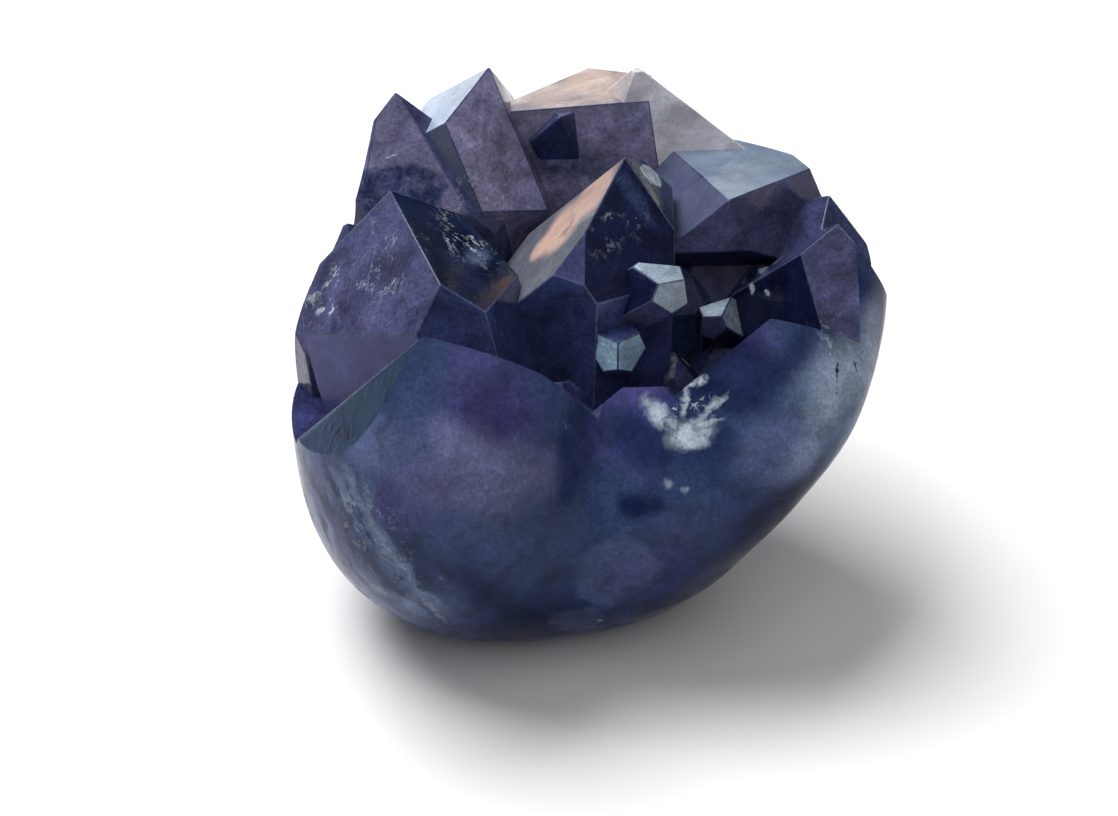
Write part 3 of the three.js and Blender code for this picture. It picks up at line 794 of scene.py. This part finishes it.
def zone_colours(places):
    """The colour of the broad zones at places in millimetres."""
    wander = np.array([
        noise.noise_vector(Vector(p) / WANDER_SIZE) + FINE_SHARE * noise.noise_vector(Vector(p) / FINE_SIZE)
        for p in places
    ])
    bent = places + WANDER * wander
    wide = np.array([(noise.noise(Vector(p) / DUSK_SIZE), noise.noise(Vector(p) / HAZE_SIZE)) for p in bent])
    dusk = smooth_rise(wide[:, 0], *DUSK_RISE)
    haze = HAZE_SHARE * smooth_rise(wide[:, 1], *HAZE_RISE)
    colour = np.array(NAVY) * (1 - dusk) + np.array(DUSK) * dusk
    colour = colour * (1 - haze) + np.array(HAZE) * haze
    for paint, strength, start, end, reach, soft in ZONES:
        half = (Vector(end) - Vector(start)) / 2
        line = np.array(half.normalized())
        from_middle = bent - np.array((Vector(start) + Vector(end)) / 2)
        along = from_middle @ line
        beside = from_middle - along[:, None] * line
        away = np.hypot(np.linalg.norm(beside, axis=1) / reach, along / (half.length + reach))
        share = strength * (1 - smooth_rise(away, 1 - soft, 1))
        colour = colour * (1 - share) + np.array(paint) * share
    return colour


mesh = heart.data
at_points = zone_colours(np.array([vertex.co for vertex in mesh.vertices]) / MM)
at_faces = zone_colours(np.array([face.center for face in mesh.polygons]) / MM)
polished = [slot.name == "polished amethyst" for slot in mesh.materials]
painted = []
for face in mesh.polygons:
    for vertex in face.vertices:
        paint = at_points[vertex] if polished[face.material_index] else at_faces[face.index]
        painted += [*paint, 1]
mesh.attributes.new("stone_zones_and_painted_light", "FLOAT_COLOR", "CORNER").data.foreach_set("color", painted)
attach(heart, "root")
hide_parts("amethyst_heart")


# The paper. The heart stands loose on one flat sheet of plain white paper, smooth and dull, which runs on
# far behind it. Its size and the lights' places are in metres.
PAPER_ACROSS, PAPER_WHITE, PAPER_ROUGH = 6, (0.8, 0.8, 0.8, 1), 0.9
bpy.ops.object.select_all(action="DESELECT")
bpy.ops.mesh.primitive_plane_add(size=PAPER_ACROSS)
paper = bpy.context.object
paper.name = "paper"
white = bpy.data.materials.new("paper")
white.use_nodes = True
white.node_tree.nodes["Principled BSDF"].inputs["Base Color"].default_value = PAPER_WHITE
white.node_tree.nodes["Principled BSDF"].inputs["Roughness"].default_value = PAPER_ROUGH
paper.data.materials.append(white)


# The light. A large soft window, high up behind the heart on the left, throws the shadow to the right and a
# little forward. A pale wall glows low behind it, and a broad fill in front leaves no gloss on the stone.
LIGHTS = [
    # name, place, the point it shines at, width, height, power in watts
    ("window", (-0.38, 0.38, 1.15), (0, 0, 0.02), 0.85, 0.85, 22.8),
    ("wall", (-0.04, 0.70, 0.17), (0, 0, 0.04), 0.42, 0.26, 0.8),
    ("fill", (0.1, -0.75, 1.05), (0, 0, 0.02), 1.3, 1.3, 6.3),
]
ROOM_WHITE, ROOM_GLOW = (1, 1, 1, 1), 0.12
for name, place, aim, width, height, power in LIGHTS:
    lamp = bpy.data.lights.new(name, "AREA")
    lamp.shape = "RECTANGLE"
    lamp.size, lamp.size_y = width, height
    lamp.energy = power
    hung = bpy.data.objects.new(name, lamp)
    bpy.context.collection.objects.link(hung)
    hung.location = place
    hung.rotation_euler = (Vector(aim) - Vector(place)).to_track_quat("-Z", "Y").to_euler()
    hung.visible_camera = False
    hung.visible_glossy = name != "fill"
room = bpy.data.worlds.new("room")
bpy.context.scene.world = room
room.use_nodes = True
room.node_tree.nodes["Background"].inputs["Color"].default_value = ROOM_WHITE
room.node_tree.nodes["Background"].inputs["Strength"].default_value = ROOM_GLOW
bpy.context.scene.view_settings.view_transform = "Standard"


# The camera. A long lens, about 35 degrees above the paper and 13 degrees to the left of the heart's front.
# Its sizes are in millimetres and the picture's in pixels. AIM is a point in the heart, and AIM_SHOWS_AT is
# where it shows in the picture.
AZIMUTH, ELEVATION = math.radians(-13), math.radians(35)
LENS, SENSOR, DISTANCE, NEAR = 100, 36, 310, 10
AIM = Vector((1.006, -2.302, 20))
PICTURE = (1118, 816)
AIM_SHOWS_AT = (588, 397)
back = Vector((
    math.sin(AZIMUTH) * math.cos(ELEVATION), -math.cos(AZIMUTH) * math.cos(ELEVATION), math.sin(ELEVATION),
))
right = Vector((0, 0, 1)).cross(back).normalized()
up = back.cross(right)
per_pixel = DISTANCE * SENSOR / LENS / PICTURE[0]
aside = right * (AIM_SHOWS_AT[0] - PICTURE[0] / 2) - up * (AIM_SHOWS_AT[1] - PICTURE[1] / 2)
stand = (AIM + back * DISTANCE - aside * per_pixel) * MM
lens = bpy.data.cameras.new("camera")
lens.lens, lens.sensor_width = LENS, SENSOR
lens.clip_start = NEAR * MM
camera = bpy.data.objects.new("camera", lens)
bpy.context.collection.objects.link(camera)
camera.matrix_world = Matrix.Translation(stand) @ Matrix((right, up, back)).transposed().to_4x4()
bpy.context.scene.camera = camera
